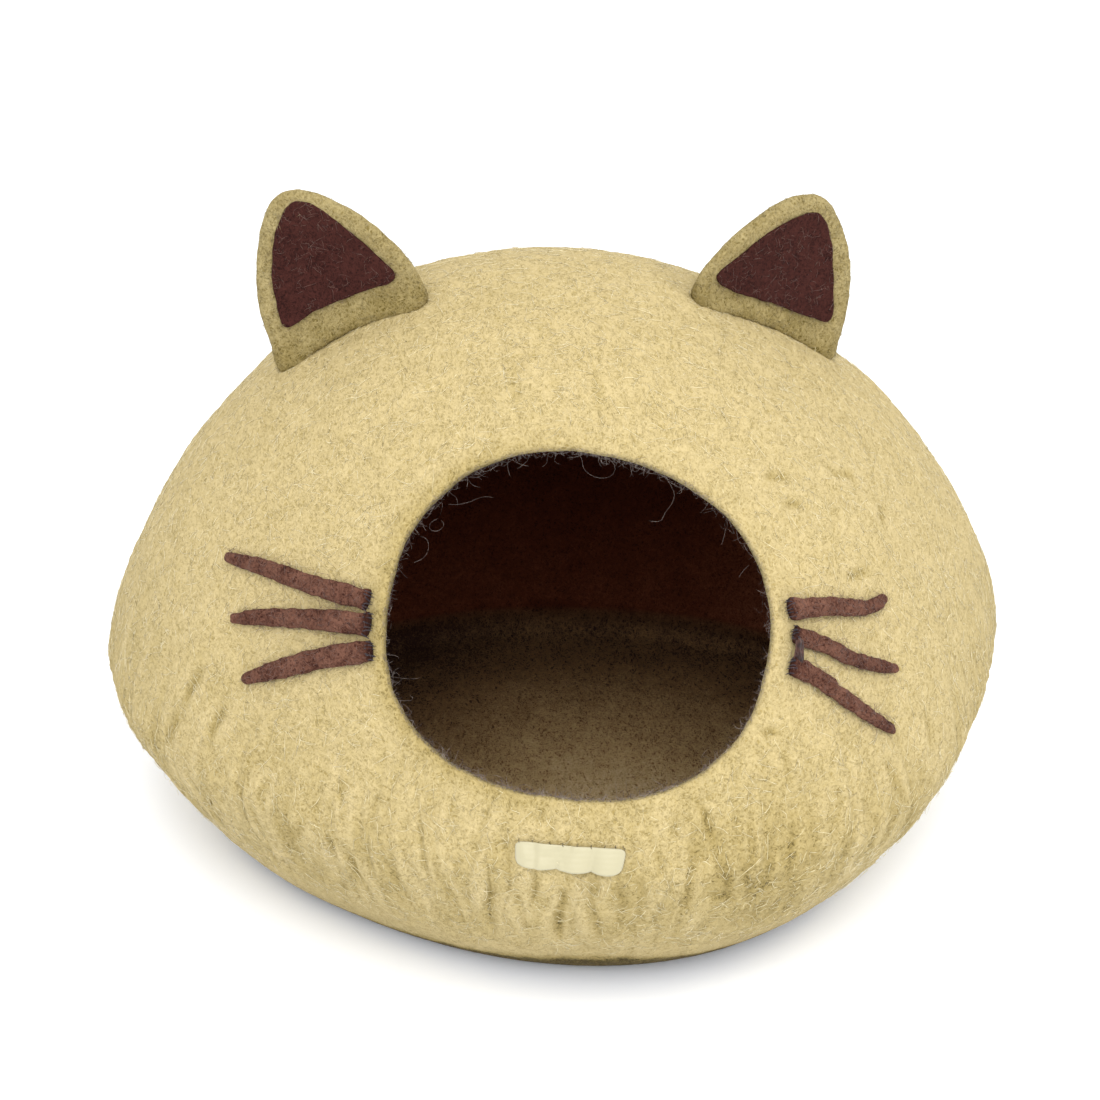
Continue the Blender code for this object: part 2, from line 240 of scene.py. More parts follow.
def inside_pod(points):
    """True for the points that lie inside the pod's outer skin."""
    out = unit(points - POD_CENTRE)
    plain = points + out * hollow_depth(out)[..., None]
    height = np.clip(plain[..., 2], 0, HEIGHT)
    left = 1 - np.minimum(height, WIDEST_HEIGHT) / WIDEST_HEIGHT
    spread = (1 - left ** LOWER_ROUND) ** (1 / LOWER_ROUND)
    rise = ramp(height, WIDEST_HEIGHT, HEIGHT)
    upper = WIDEST_RADIUS * (1 - rise ** UPPER_FALL) ** (1 / UPPER_ROUND)
    ring = np.where(height < WIDEST_HEIGHT, BASE_RADIUS + (WIDEST_RADIUS - BASE_RADIUS) * spread, upper)
    up = height / HEIGHT - LEAN_HEIGHT
    across = plain[..., 0] + LEAN_LEFT * up + LEAN_BOW * up * up
    deep = plain[..., 1] - LEAN_BACK * up
    turn = np.arctan2(deep, across)
    share = 1
    for waves, cosine, sine in PLAN_WAVES:
        share = share + cosine * np.cos(waves * turn) + sine * np.sin(waves * turn)
    within = (plain[..., 2] > 0) & (plain[..., 2] < HEIGHT)
    return within & (np.hypot(across, deep) < ring * share)


def skin_between(outside, inside):
    """Points of the skin on the lines from points outside the pod to points inside it."""
    outside, inside = np.broadcast_arrays(np.asarray(outside, float), np.asarray(inside, float))
    for _ in range(26):
        middle = (outside + inside) / 2
        within = inside_pod(middle)[..., None]
        inside = np.where(within, middle, inside)
        outside = np.where(within, outside, middle)
    return outside


def skin_in_front(places):
    """Points of the skin at places seen from the front, as (across, height)."""
    places = np.asarray(places, float)
    flat = np.stack((places[..., 0], places[..., 0] * 0, places[..., 1]), axis=-1)
    return skin_between(flat + (0, -0.45, 0), flat)


def skin_normals(points):
    """Outward directions of the skin at some of its points."""
    out = unit(points - POD_CENTRE)
    side = unit(np.cross(out, (0.03, 0.02, 1.0)))
    other = np.cross(out, side)
    rows = []
    for step in (side * 0.003, -side * 0.003, other * 0.003, -other * 0.003):
        rows.append(skin_between(points + step + out * 0.03, points + step - out * 0.03))
    normals = unit(np.cross(rows[0] - rows[1], rows[2] - rows[3]))
    return normals * np.sign(np.sum(normals * out, axis=-1, keepdims=True))


def grid_normals(grid, centre):
    """Directions away from a centre that stand on a grid of points wrapped round it."""
    around = np.roll(grid, -1, axis=1) - np.roll(grid, 1, axis=1)
    normals = unit(np.cross(np.gradient(grid, axis=0), around))
    return normals * np.sign(np.sum(normals * (grid - centre), axis=-1, keepdims=True))


def wrapped(grid, sunk=None):
    """A closed skin drawn to a grid's rows of points, wrapped round; its first and last rows are the
    poles. The grid of painted shade and mottle for each point goes with it, for the felt's shading."""
    rows, sides = grid.shape[:2]
    bm = bmesh.new()
    layer = bm.verts.layers.float.new("sunk")
    bmesh.ops.create_grid(bm, x_segments=sides, y_segments=rows - 1, size=1)
    for corner in bm.verts:
        side = round((corner.co.x + 1) / 2 * sides) % sides
        row = round((1 - corner.co.y) / 2 * (rows - 1))
        corner.co = grid[row, side]
        if sunk is not None:
            corner[layer] = sunk[row, side]
    bmesh.ops.remove_doubles(bm, verts=bm.verts, dist=1e-6)
    return bm


# Skin of the pod in rings from the mouth's edge to the far pole
turns = np.arange(SIDES) / SIDES * math.tau
turns = turns - SIDES_NEAR_FOOT * np.cos(turns)
reach = (np.abs(np.cos(turns) / MOUTH_HALF_WIDTH) ** MOUTH_ROUND
         + np.abs(np.sin(turns) / MOUTH_HALF_HEIGHT) ** MOUTH_ROUND) ** (-1 / MOUTH_ROUND)
uneven = 1
for share, waves, seed in MOUTH_WAVES:
    ring = [noise.noise(Vector((math.cos(turn) * waves, math.sin(turn) * waves, seed))) for turn in turns]
    uneven = uneven + share * np.array(ring)
reach = reach * uneven
oval = MOUTH_CENTRE + np.outer(reach * np.cos(turns), MOUTH_RIGHT)
oval = oval + np.outer(reach * np.sin(turns), MOUTH_UP)
mouth_edge = skin_between(oval + MOUTH_OUT * 0.075, oval - MOUTH_OUT * 0.085)
edge_ways = unit(mouth_edge - POD_CENTRE)
far_way = -unit(MOUTH_CENTRE - POD_CENTRE)
spans = np.arccos(np.clip(edge_ways @ far_way, -1, 1))[None, :, None]
shares = ((np.arange(SKIN_RINGS) / SKIN_RINGS) ** RINGS_NEAR_MOUTH)[:, None, None]
ways = (np.sin((1 - shares) * spans) * edge_ways + np.sin(shares * spans) * far_way) / np.sin(spans)
skin = skin_between(POD_CENTRE + ways * 0.5, POD_CENTRE + ways * 0.01)
normals = grid_normals(skin, POD_CENTRE)
far_pole = skin_between(POD_CENTRE + far_way * 0.5, POD_CENTRE)
from_edge = np.linalg.norm(np.diff(skin, axis=0, prepend=skin[:1]), axis=-1).cumsum(axis=0)


# Creases of the wall, listed one by one: soft troughs where the felt shrank while it was rubbed
CREASES = (
    # half width, depth, then points seen from the front (across, height), in mm
    # under the mouth, from left to right
    (2.2, 0.7, (-93, 89), (-94, 78), (-92, 67)),
    (2.0, 0.6, (-80, 92), (-81, 82), (-79, 72), (-78, 62)),
    (1.8, 0.7, (-67.5, 89), (-66.5, 81), (-68, 73)),
    (2.0, 0.8, (-55, 78), (-53, 69), (-53.5, 60), (-55, 52)),
    (2.0, 1.0, (-43, 81), (-41.5, 72), (-40, 64), (-39, 56), (-38.5, 48)),
    (1.7, 0.7, (-35, 84), (-34, 77), (-33.5, 69)),
    (1.8, 0.6, (-30, 115), (-30, 106)),
    (2.0, 1.1, (-23.5, 86), (-22.5, 77), (-21.5, 69), (-23, 60), (-22.5, 47), (-21, 37)),
    (1.8, 0.8, (-19.5, 107), (-19.5, 100), (-20, 94)),
    (1.8, 0.9, (-9, 86), (-8.5, 78), (-10.5, 70), (-11.5, 62)),
    (1.8, 0.7, (-3, 111), (-3, 101)),
    (1.8, 0.8, (1, 89), (1, 80), (3.5, 73), (3.5, 66), (2, 58), (3, 52)),
    (1.8, 0.9, (11.5, 94), (14, 89), (10.5, 83), (12, 74), (11.5, 64), (11, 56), (8.5, 48)),
    (1.6, 0.6, (14.5, 108), (14.5, 101)),
    (1.8, 0.9, (18, 98), (19.5, 91), (19, 84)),
    (1.8, 0.8, (26.5, 114), (25.5, 106), (22, 100)),
    (2.0, 1.6, (31, 102), (33.5, 94), (32, 85), (31.5, 75), (31.5, 66), (30, 57)),
    (2.0, 1.4, (35.5, 117), (39, 111), (41, 104), (43, 97)),
    (2.2, 0.9, (40, 75), (45, 70.5), (50, 69), (54, 65)),
    (1.8, 0.9, (49.5, 85), (49.5, 76), (47, 70)),
    (2.0, 1.4, (60.5, 112), (59.5, 103), (60, 95), (59, 86), (58, 79), (59, 70), (60, 62)),
    (1.9, 1.2, (68, 105), (69, 95), (68, 85), (67, 76), (66.5, 68), (66, 59)),
    (1.9, 0.9, (78, 110), (79, 99), (77.5, 88), (76.5, 78)),
    (2.0, 0.7, (90, 104), (91, 94), (89, 84)),
    (2.0, 0.8, (101, 111), (102, 102), (100, 93)),
    # low on the left
    (2.6, 1.4, (-113, 76), (-112, 69), (-110, 60), (-109, 52)),
    (2.6, 1.1, (-113, 109), (-116, 103), (-117, 96)),
    (2.6, 1.2, (-121, 83), (-120.5, 73), (-119, 63)),
    (2.6, 1.2, (-132, 88), (-134, 80), (-136, 69)),
    (3.0, 1.1, (-148, 98), (-152, 88), (-153, 79)),
    (3.2, 1.6, (-165.5, 119), (-170, 112), (-174.5, 104), (-176, 95)),
    (3.2, 1.7, (-176.5, 129), (-182.5, 118), (-187, 108)),
    (3.4, 1.6, (-187, 107), (-193, 95), (-195, 85)),
    # on the right, among the whiskers and above them
    (2.4, 1.2, (65, 138), (70, 137), (76, 136)),
    (2.4, 1.1, (75, 132), (77.5, 122), (78, 113)),
    (3.0, 1.2, (126, 112), (131, 101), (133, 90)),
    (3.0, 1.1, (150, 118), (153, 107), (154, 97)),
    (2.8, 1.5, (113, 178), (120, 177), (129, 175)),
    (2.6, 1.2, (141, 188), (140, 181)),
    (2.8, 1.5, (112, 212), (118, 206), (126, 203), (128, 198)),
    (2.8, 1.4, (86, 209.5), (93, 208), (99, 205)),
    (2.8, 1.4, (78, 219), (85, 218), (91, 215)),
    # above the mouth
    (2.6, 0.6, (-31, 262), (-31, 254), (-29, 247)),
    (2.6, 0.6, (-12, 264), (-13, 256), (-11, 249)),
    (2.6, 0.6, (5, 262), (6, 254), (5, 247)),
)


def near_line(points, line):
    """Distance of points from a line through several points, and the share of its length there."""
    best = np.full(points.shape[:-1], 9.0)
    share = np.zeros(points.shape[:-1])
    for index, (start, end) in enumerate(zip(line, line[1:])):
        run = end - start
        place = np.clip(np.sum((points - start) * run, axis=-1) / np.dot(run, run), 0, 1)
        away = np.linalg.norm(points - start - place[..., None] * run, axis=-1)
        nearer = away < best
        best = np.where(nearer, away, best)
        share = np.where(nearer, (index + place) / (len(line) - 1), share)
    return best, share


def lumps(points, size, seed):
    """Soft unevenness at points, from -1 to 1, for lumps of a size in metres or of three sizes."""
    spots = (points / np.asarray(size, float) + seed).reshape(-1, 3)
    return np.array([noise.noise(Vector(spot)) for spot in spots]).reshape(points.shape[:-1])


# Lumps of the rubbed felt: rise, size, place in the noise
LUMPS = ((0.0013, 0.050, 3.1), (0.0006, 0.018, 8.7), (0.0004, 0.0070, 12.9), (0.0003, 0.0040, 41.1))
# Upright ridges and pleats low on the wall: width, drawn out upwards by a share, place in the noise
RIDGES = (0.0085, 0.12, 5.3)
PLEATS = (0.0048, 0.144, 31.3)
RIDGES_WANDER = 0.010
RIDGES_TOP = (0.120, 0.070)
RIDGES_FOOT = (0.030, 0.050)
RIDGE_RISE = 0.0012
PLEAT_RISE = 0.0008
# A dull patch of the felt right of the label, as (across, height)
DULL_PLACE = (0.060, 0.082)
DULL_REACH = 0.033
DULL_DARKENING = 0.9
# Beside each crease the felt stands up in low shoulders, painted paler than the crease's painted shade, as
# a painted highlight
SHOULDER_RISE = 0.35
SHOULDER_PAINTED_HIGHLIGHT = 0.3
FOOT_FLAT = (0.002, 0.022)


def skin_relief(points):
    """How far the felt stands proud of the plain skin with its lumps, rubbed ridges and creases, and the
    painted shade of its creases, ridges, pleats and dull patch, with painted highlight beside each crease,
    in mm."""
    height = points[..., 2]
    relief = np.zeros(height.shape)
    for rise, size, seed in LUMPS:
        relief += rise * lumps(points, size, seed)
    girth = np.arctan2(points[..., 1], points[..., 0]) * WIDEST_RADIUS
    girth = girth + RIDGES_WANDER * lumps(points, 0.05, 17.7)
    low = ramp(height, *RIDGES_TOP) * np.maximum(ramp(height, *RIDGES_FOOT), 0.1)
    ridges, pleats = (lumps(np.stack((girth, height * drawn_out, height * 0), axis=-1), width, seed)
                      for width, drawn_out, seed in (RIDGES, PLEATS))
    relief += low * (RIDGE_RISE * np.abs(ridges) + PLEAT_RISE * (pleats - np.exp(-(ridges / 0.10) ** 2)))
    # Painted shade in the valleys between the ridges, and painted shade and light along the pleats' lows
    # and highs
    painted_crease_shade_and_dull_patch = low * (0.7 * np.exp(-(ridges / 0.08) ** 2) - 0.9 * pleats)
    away = np.hypot(points[..., 0] - DULL_PLACE[0], height - DULL_PLACE[1]) / DULL_REACH
    painted_crease_shade_and_dull_patch += DULL_DARKENING * np.exp(-away ** 2) * (points[..., 1] < 0)
    for half_width, depth, *places in CREASES:
        line = skin_in_front(np.array(places) / 1000)
        middle = line.mean(axis=0)
        reach = np.linalg.norm(line - middle, axis=-1).max() + 0.01
        close = np.linalg.norm(points - middle, axis=-1) < reach
        away, share = near_line(points[close], line)
        away = away * 1000 / half_width
        fade = np.clip(np.minimum(share, 1 - share) * 3, 0, 1)
        hollow = np.exp(-away ** 2) - SHOULDER_RISE * np.exp(-(away - 2) ** 2)
        # Painted shade down the crease, and a painted highlight on its shoulders
        shade = np.exp(-(away / 0.75) ** 2) - SHOULDER_PAINTED_HIGHLIGHT * np.exp(-(away - 1.9) ** 2)
        relief[close] -= depth / 1000 * fade * hollow
        painted_crease_shade_and_dull_patch[close] += depth * fade * shade
    return relief * ramp(height, *FOOT_FLAT), painted_crease_shade_and_dull_patch


relief, sunk = skin_relief(skin)
felt_skin = skin + normals * relief[..., None]

# Painted shade: the felt is darker in its creases, under the foot, most in front, and on the lip,
# most at its left. There the painted shade counts in mm, like a crease's depth
UNDERSIDE_PAINTED_SHADE = 3.4
UNDERSIDE_HEIGHT = 0.011
UNDERSIDE_IN_FRONT = 0.012
UNDERSIDE_UNEVEN = 0.003
UNDERSIDE_FADE = 0.007
LIP_PAINTED_SHADE = 0.2
LIP_PAINTED_SHADE_LEFT = 1.0
LIP_BAND = 0.007

underside = UNDERSIDE_HEIGHT + UNDERSIDE_IN_FRONT * np.exp(-(skin[..., 0] / 0.075) ** 2)
underside += UNDERSIDE_UNEVEN * lumps(skin, 0.009, 14.4)
sunk += UNDERSIDE_PAINTED_SHADE * ramp(underside - skin[..., 2], 0, UNDERSIDE_FADE)
sunk += np.exp(-(from_edge / LIP_BAND) ** 2) * (LIP_PAINTED_SHADE + LIP_PAINTED_SHADE_LEFT * ramp(skin[..., 0], 0, -0.06))

# The lip: round the mouth the felt turns in over the cut edge
sink = ramp(from_edge, LIP_RADIUS, 0)
felt_skin = felt_skin - normals * (LIP_RADIUS * (1 - np.sqrt(1 - sink ** 2)))[..., None]
inward = -MOUTH_OUT / np.sum(normals[0] * MOUTH_OUT, axis=-1, keepdims=True)
edge_blend = ramp(from_edge, CUT_BLEND, 0)[..., None]
depth_way = -normals * (1 - edge_blend) + inward * edge_blend


def at_depth(ring, depth):
    """Points of a ring at a depth in the wall; at the mouth they follow its cut."""
    return skin[ring] + depth_way[ring] * depth


# The outside layer: cream felt, with its lip turned in over the edge of the cut
hidden = np.linspace(0, SKIN_RINGS - 1, HIDDEN_RINGS).astype(int)
pole_in = np.array(normals[-1].mean(axis=0))
outside_rows = [np.broadcast_to(far_pole, (SIDES, 3))]
outside_rows += [felt_skin[ring] for ring in range(SKIN_RINGS - 1, -1, -1)]
for step in range(1, LIP_RINGS + 1):
    outside_rows.append(skin[0] + inward * (LIP_RADIUS + (LAYER_DEPTH - LIP_RADIUS) * step / LIP_RINGS))
outside_rows += [at_depth(ring, LAYER_DEPTH) for ring in hidden[1:]]
outside_rows.append(np.broadcast_to(far_pole - pole_in * LAYER_DEPTH, (SIDES, 3)))

# The inside layer: brown felt, from the cut edge to the lining of the cave
lining_rings = np.unique(((np.arange(LINING_RINGS) / LINING_RINGS) ** 1.1 * SKIN_RINGS).astype(int))
inside_rows = [np.broadcast_to(far_pole - pole_in * (LAYER_DEPTH + LAYER_GAP), (SIDES, 3))]
inside_rows += [at_depth(ring, LAYER_DEPTH + LAYER_GAP) for ring in hidden[::-1]]
for step in range(1, LIP_RINGS + 1):
    bend = math.pi / 2 * step / LIP_RINGS
    depth = WALL - LINING_ROUND + LINING_ROUND * math.sin(bend)
    away = LINING_ROUND * (1 - math.cos(bend))
    inside_rows.append(skin[0] + inward * depth + unit(skin[4] - skin[0]) * away)
for ring in lining_rings[1:]:
    uneven = 0.0006 * lumps(skin[ring], 0.03, 21.7) + 0.0003 * lumps(skin[ring], 0.009, 33.3)
    uneven = uneven * np.maximum(ramp(skin[ring][:, 2], 0.002, 0.012), 0.3) * ramp(ring, 0, 8)
    inside_rows.append(at_depth(ring, WALL) + normals[ring] * uneven[:, None])
inside_rows.append(np.broadcast_to(far_pole - pole_in * WALL, (SIDES, 3)))


# The nap: layers of curled strands. The felt is painted darker by this share for each mm of painted shade
# it carries, and paler where that is below zero
PAINTED_SHADE_SHARE = 0.22
HAIR_WIDTH_MM = 0.5
STRANDS = (
    # turn of the layer, size of its curls in hair widths, place in the noise
    ((0.3, 0.1, 0.2), 9, 1.3),
    ((0.9, 1.1, 0.4), 12, 4.7),
    ((1.7, 0.5, 1.4), 7, 8.1),
    ((0.2, 2.1, 0.9), 15, 2.9),
    ((2.3, 1.7, 0.1), 11, 6.1),
)
# Fine upright pleats, low on the wall: their width and length, how sharp, how dark their painted shade
# is and how deep, and the heights between which they fade out at their top and foot
PLEAT_WIDTH = 0.020
PLEAT_LENGTH = 0.080
PLEAT_SHARP = 0.17
PLEAT_SHADE = -0.15
PLEAT_DEPTH = -1.7
PLEAT_FADES = ((0.085, 0.150), (0.045, 0.022))
# The floor's own felt fades into the lining of the wall between these heights
FLOOR_FADE = (0.0074, 0.0190)


def felt_material(name, colours, sheen, low_colours=None, pleats=False, bump=0.0008):
    """Wool felt: pale curled strands over a duller body and darker gaps, darkest where the mesh carries
    the most painted shade. Colours go from the most shaded places over gap and body to strand."""
    material, add = new_material(name)
    place = add("TexCoord")["Object"]
    hairs = None
    for turn, curl, seed in STRANDS:
        lie = add("Mapping", {
            "Location": (seed, seed, seed), "Rotation": turn, "Scale": (1, 0.45, 1)}, {"Vector": place})
        flow = add("TexNoise", {
            "Scale": 1000 / (HAIR_WIDTH_MM * curl), "Detail": 1.5, "Roughness": 0.6, "Distortion": 1.8,
        }, {"Vector": lie[0]})["Fac"]
        off = add("Math", {"operation": "SUBTRACT", 1: 0.5}, {0: flow})[0]
        off = add("Math", {"operation": "ABSOLUTE"}, {0: off})[0]
        one = add("MapRange", {
            "From Min": 0.0, "From Max": 0.75 / curl, "To Min": 0.38, "To Max": 0.0}, {"Value": off})[0]
        if hairs is not None:
            one = add("Math", {"operation": "MAXIMUM"}, {0: hairs, 1: one})[0]
        hairs = one
    # The nap between the strands, and clumps of wool that took the dye or the light a little differently
    nap, clumps = (add("TexNoise", {
        "Scale": 1000 / (HAIR_WIDTH_MM * size), "Detail": detail, "Roughness": rough,
    }, {"Vector": place})["Fac"] for size, detail, rough in ((3, 3.0, 0.7), (30, 4.0, 0.6)))
    nap, clumps = (add("MapRange", {
        "From Min": 0.3, "From Max": 0.7, "To Min": low, "To Max": high,
    }, {"Value": field})[0] for field, low, high in ((nap, 0.40, 0.58), (clumps, -0.05, 0.05)))
    height = add("Math", {"operation": "ADD"}, {0: hairs, 1: nap})[0]
    shade = add("Math", {"operation": "ADD"}, {0: height, 1: clumps})[0]
    # Painted shade and mottle that the mesh carries darken the colour; below zero they paint it paler
    sunk = add("Attribute", {"attribute_name": "sunk"})["Fac"]
    shade = add("Math", {
        "operation": "MULTIPLY_ADD", 1: -PAINTED_SHADE_SHARE}, {0: sunk, 2: shade})[0]
    at = add("SeparateXYZ", {}, {"Vector": place})
    if pleats:
        back = add("Math", {"operation": "MULTIPLY", 1: -1.0}, {0: at["Y"]})[0]
        turn = add("Math", {"operation": "ARCTAN2"}, {0: at["X"], 1: back})[0]
        around = add("CombineXYZ", {}, {"X": turn, "Y": at["Z"]})[0]
        around = add("Mapping", {
            "Scale": (WIDEST_RADIUS / PLEAT_WIDTH, 1 / PLEAT_LENGTH, 1)}, {"Vector": around})[0]
        fold = add("TexNoise", {
            "Scale": 1.0, "Detail": 1.0, "Roughness": 0.5, "Distortion": 0.9}, {"Vector": around})["Fac"]
        fold = add("Math", {"operation": "SUBTRACT", 1: 0.5}, {0: fold})[0]
        fold = add("Math", {"operation": "ABSOLUTE"}, {0: fold})[0]
        fold = add("MapRange", {
            "From Min": 0.0, "From Max": PLEAT_SHARP, "To Min": 1.0, "To Max": 0.0,
            "interpolation_type": "SMOOTHSTEP"}, {"Value": fold})[0]
        for full, gone in PLEAT_FADES:
            part = add("MapRange", {
                "From Min": full, "From Max": gone, "To Min": 1.0, "To Max": 0.0}, {"Value": at["Z"]})[0]
            fold = add("Math", {"operation": "MULTIPLY"}, {0: fold, 1: part})[0]
        # Painted shade along the pleats' folds, with their bump
        shade, height = (add("Math", {
            "operation": "MULTIPLY_ADD", 1: share}, {0: fold, 2: field})[0]
            for share, field in ((PLEAT_SHADE, shade), (PLEAT_DEPTH, height)))
    ramps = []
    for four in filter(None, (colours, low_colours)):
        deep, gap, body, strand = (linear(colour) for colour in four)
        ramps.append(add("ValToRGB", {
            "stops": [(0.0, deep), (1.0, strand), (0.35, gap), (0.62, body)]}, {"Fac": shade})["Color"])
    colour = ramps[0]
    if low_colours:
        low = add("MapRange", {
            "From Min": FLOOR_FADE[0], "From Max": FLOOR_FADE[1], "To Min": 1.0, "To Max": 0.0,
            "interpolation_type": "SMOOTHSTEP"}, {"Value": at["Z"]})[0]
        colour = add("Mix", {"data_type": "RGBA"}, {0: low, 6: colour, 7: ramps[1]})[2]
    relief = add("Bump", {"Strength": 1.0, "Distance": bump}, {"Height": height})
    shader = add("BsdfPrincipled", {
        "Roughness": 0.95, "Specular IOR Level": 0.12,
        "Sheen Weight": sheen, "Sheen Roughness": 0.5, "Sheen Tint": linear(colours[3]),
    }, {"Base Color": colour, "Normal": relief["Normal"]})
    add("OutputMaterial", {}, {"Surface": shader[0]})
    return material


# Cream wool: matt, mottled pale strands, a soft sheen where it turns away; painted olive shade in the
# pleats, and from the mesh in the creases and under the foot
cream_felt = felt_material("cream wool felt, wet felted", ("#342809", "#897848", "#9F8E60", "#B7A67C"),
                           0.15, pleats=True)
# Brown wool of the lining: almost black red-brown in the cave's own shade, over a paler olive-brown floor
brown_felt = felt_material("brown wool felt, wet felted", ("#260F07", "#3D190D", "#542715", "#7A4932"),
                           0.08, ("#34201A", "#8C6C46", "#C6A876", "#EEDCB2"))
outside_rows, inside_rows = np.array(outside_rows), np.array(inside_rows)
# Painted shade and mottle of the outside skin; the lip's rows take those of the mouth's edge
outside_painted_shade_and_mottle = np.zeros(outside_rows.shape[:2])
outside_painted_shade_and_mottle[1:SKIN_RINGS + 1] = sunk[::-1]
outside_painted_shade_and_mottle[SKIN_RINGS + 1:] = sunk[0]
# Painted light inside: the floor is painted darker away from the mouth, towards its edge and at the
# left; the wall darker half way up at the back, and painted paler at the sides and under the dome
across, deep, height = np.moveaxis(inside_rows, -1, 0)
floor_painted_shade = 2.2 * ramp(np.hypot(across, deep + 0.12), 0.05, 0.25)
floor_painted_shade += 0.7 * ramp(np.hypot(across, deep), 0.10, 0.17) + 1.2 * ramp(across, 0, -0.14)
wall_painted_light = 0.6 + 0.7 * np.exp(-((height - 0.09) / 0.05) ** 2) - 1.7 * ramp(np.abs(across), 0.09, 0.17)
inside_painted_light = floor_painted_shade * ramp(height, FLOOR_FADE[1], 0.014) + wall_painted_light * ramp(height, 0.014, 0.020)
inside_painted_light -= 2.6 * ramp(height, 0.13, 0.22)
cave_outside = new_object("cave_felt_outside", wrapped(outside_rows, outside_painted_shade_and_mottle), cream_felt, POD_AXIS)
cave_inside = new_object("cave_felt_inside", wrapped(inside_rows, inside_painted_light), brown_felt, POD_AXIS)
for piece, slot in ((cave_outside, "felt_cream"), (cave_inside, "felt_dark")):
    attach(piece, "root")
    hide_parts("shell")


# Loose hairs
# Fine curled hairs of the wool that worked loose: most of them lie on the felt, some stand off it.
# They are drawn 0.09 to 0.22 mm thick, several times as thick as wool, so that they show.

STRAND_THICKNESS = 0.00022
STANDING_THICKNESS = 0.00013
FUZZ_THICKNESS = 0.00010
STRAY_THICKNESS = 0.00009
HAIR_STEPS = 4
HAIRS_A_PIECE = 10000
HAIR_LENGTHS = (0.003, 0.010)
HAIRS_OFF_FLOOR = 0.030
HAIRS_OFF_LIP = 0.009
STANDING_SHARE = 0.25
FUZZ_LENGTHS = (0.0015, 0.0055)
RIM_HAIRS = 3200
RIM_HAIR_DEPTHS = (0.0006, 0.0066)
RIM_HAIR_LONGEST = 0.009


def smooth_line(points, count, closed):
    """Points at even distances along a smooth curve through the given ones."""
    points = np.asarray(points, float)
    if closed:
        ends = np.concatenate((points[-1:], points, points[:2]))
    else:
        ends = np.concatenate((2 * points[:1] - points[1:2], points, 2 * points[-1:] - points[-2:-1]))
    fine = []
    for before, start, end, after in zip(ends, ends[1:], ends[2:], ends[3:]):
        bow, twist = 2 * before - 5 * start + 4 * end - after, 3 * start - before - 3 * end + after
        for t in np.arange(40) / 40:
            fine.append(0.5 * (2 * start + (end - before) * t + bow * t * t + twist * t ** 3))
    fine.append(points[0] if closed else points[-1])
    fine = np.array(fine)
    run = np.concatenate(([0], np.linalg.norm(np.diff(fine, axis=0), axis=-1).cumsum()))
    wanted = np.arange(count) / (count if closed else count - 1) * run[-1]
    return np.stack([np.interp(wanted, run, fine[:, k]) for k in range(points.shape[1])], axis=-1)


def hair_paths(roots, heads, normals, lengths, dice, curl, lift, rise, steps=HAIR_STEPS):
    """Points along curled hairs: from their roots they head off along the skin, bow sideways, arch off
    it and rise from it."""
    one_each = (len(roots), 1, 1)
    t = (np.arange(steps + 1) / steps)[None, :, None]
    side = np.cross(normals, heads)[:, None]
    bow = dice.normal(0, curl, one_each) * t * t
    bow = bow + dice.normal(0, curl * 0.35, one_each) * np.sin(t * math.tau)
    arch = np.abs(dice.normal(0, lift, one_each)) * np.sin(t * math.pi)
    arch = arch + rise * np.abs(dice.normal(0, 1, one_each)) * t
    ahead = heads[:, None] * t + side * bow + normals[:, None] * arch
    return roots[:, None] + ahead * lengths[:, None, None]


def hair_piece(name, paths, thickness, material):
    """Hairs joined in one piece: each a thin rod of three sides that tapers to a point at both ends.
    Thickness is one for all, or one for each hair."""
    count, points = paths.shape[:2]
    thickness = np.broadcast_to(thickness, count)
    ahead = unit(np.gradient(paths, axis=1))
    side = unit(np.cross(ahead, (0.31, 0.53, 0.79)))
    other = np.cross(ahead, side)
    corners = [paths[:, :1]]
    corner_turns = np.arange(3)[:, None] / 3 * math.tau
    for k in range(1, points - 1):
        ring = side[:, None, k] * np.cos(corner_turns) + other[:, None, k] * np.sin(corner_turns)
        corners.append(paths[:, None, k] + ring * thickness[:, None, None] / 2)
    corners.append(paths[:, -1:])
    corners = np.concatenate(corners, axis=1)
    last = corners.shape[1] - 1
    faces = [(0, 1 + (k + 1) % 3, 1 + k) for k in range(3)]
    for ring in range(points - 3):
        for k in range(3):
            a, b = 1 + ring * 3 + k, 1 + ring * 3 + (k + 1) % 3
            faces += [(a, b, b + 3), (a, b + 3, a + 3)]
    faces += [(last - 3 + k, last - 3 + (k + 1) % 3, last) for k in range(3)]
    faces = (np.arange(count)[:, None, None] * (last + 1) + np.array(faces)[None]).reshape(-1, 3)
    piece = new_object(name, (corners.reshape(-1, 3), faces), material, POD_AXIS)
    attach(piece, "root")


def hair_material(name, darkest, palest):
    """Single wool hairs: each a little paler or darker than the next, softly shining."""
    material, add = new_material(name)
    place = add("TexCoord")["Object"]
    drift = add("TexNoise", {"Scale": 1000 / 2.5, "Detail": 1.0}, {"Vector": place})
    colour = add("ValToRGB", {
        "stops": [(0.35, linear(darkest)), (0.65, linear(palest))]}, {"Fac": drift["Fac"]})
    shader = add("BsdfPrincipled", {
        "Roughness": 0.6, "Specular IOR Level": 0.25, "Sheen Weight": 0.1,
    }, {"Base Color": colour["Color"]})
    add("OutputMaterial", {}, {"Surface": shader[0]})
    return material


